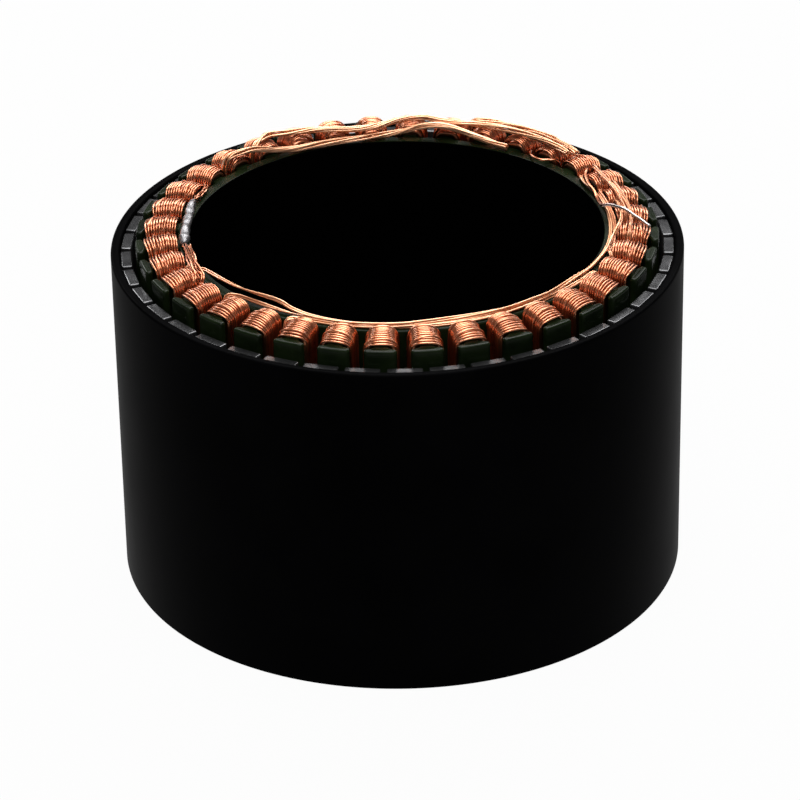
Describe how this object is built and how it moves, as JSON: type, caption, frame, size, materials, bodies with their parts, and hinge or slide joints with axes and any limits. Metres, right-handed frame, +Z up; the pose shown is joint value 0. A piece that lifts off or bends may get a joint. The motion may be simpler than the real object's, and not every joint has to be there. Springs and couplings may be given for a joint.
{
  "type": "frameless motor",
  "caption": "Outer-rotor frameless motor: a black steel ring lined with block magnets turns round a copper-wound stator with an open bore.",
  "frame": {"origin": "on the motor's axis, in the plane of the rotor ring's lower rim", "axes": "+Z up the motor's axis towards the end with the leads, -Y towards the viewer of the picture, +X to their right"},
  "size_m": [0.1, 0.1, 0.0662],
  "materials": {
    "ring_coat": "satin black coating on steel",
    "magnet_plating": "dull nickel plating",
    "core_coat": "dark green insulating coat, satin",
    "winding_wire": "enamelled copper wire, glossy",
    "lead_wire": "bundle of enamelled copper wires, glossy",
    "solder": "bright solder"
  },
  "bodies": {
    "stator": {"stator_core": "core_coat", "phase_u_coils": "winding_wire", "phase_v_coils": "winding_wire", "phase_w_coils": "winding_wire", "phase_u_crossover": "winding_wire", "phase_v_crossover": "winding_wire", "phase_w_crossover": "winding_wire", "phase_u_lead": "lead_wire", "phase_v_lead": "lead_wire", "phase_w_lead": "lead_wire", "star_joint": "solder", "star_tails": "winding_wire", "tinned_lead": "solder", "coil_jumper": "winding_wire"},
    "rotor": {"rotor_yoke": "ring_coat", "magnet_01": "magnet_plating", "magnet_02": "magnet_plating", "magnet_03": "magnet_plating", "magnet_04": "magnet_plating", "magnet_05": "magnet_plating", "magnet_06": "magnet_plating", "magnet_07": "magnet_plating", "magnet_08": "magnet_plating", "magnet_09": "magnet_plating", "magnet_10": "magnet_plating", "magnet_11": "magnet_plating", "magnet_12": "magnet_plating", "magnet_13": "magnet_plating", "magnet_14": "magnet_plating", "magnet_15": "magnet_plating", "magnet_16": "magnet_plating", "magnet_17": "magnet_plating", "magnet_18": "magnet_plating", "magnet_19": "magnet_plating", "magnet_20": "magnet_plating", "magnet_21": "magnet_plating", "magnet_22": "magnet_plating", "magnet_23": "magnet_plating", "magnet_24": "magnet_plating", "magnet_25": "magnet_plating", "magnet_26": "magnet_plating", "magnet_27": "magnet_plating", "magnet_28": "magnet_plating", "magnet_29": "magnet_plating", "magnet_30": "magnet_plating", "magnet_31": "magnet_plating", "magnet_32": "magnet_plating", "magnet_33": "magnet_plating", "magnet_34": "magnet_plating", "magnet_35": "magnet_plating", "magnet_36": "magnet_plating", "magnet_37": "magnet_plating", "magnet_38": "magnet_plating", "magnet_39": "magnet_plating", "magnet_40": "magnet_plating", "magnet_41": "magnet_plating", "magnet_42": "magnet_plating"}
  },
  "joints": [
    {"name": "rotor_spin", "type": "hinge", "parent": "stator", "child": "rotor", "pos_m": [0, 0, 0], "axis": [0, 0, 1], "continuous": true}
  ]
}
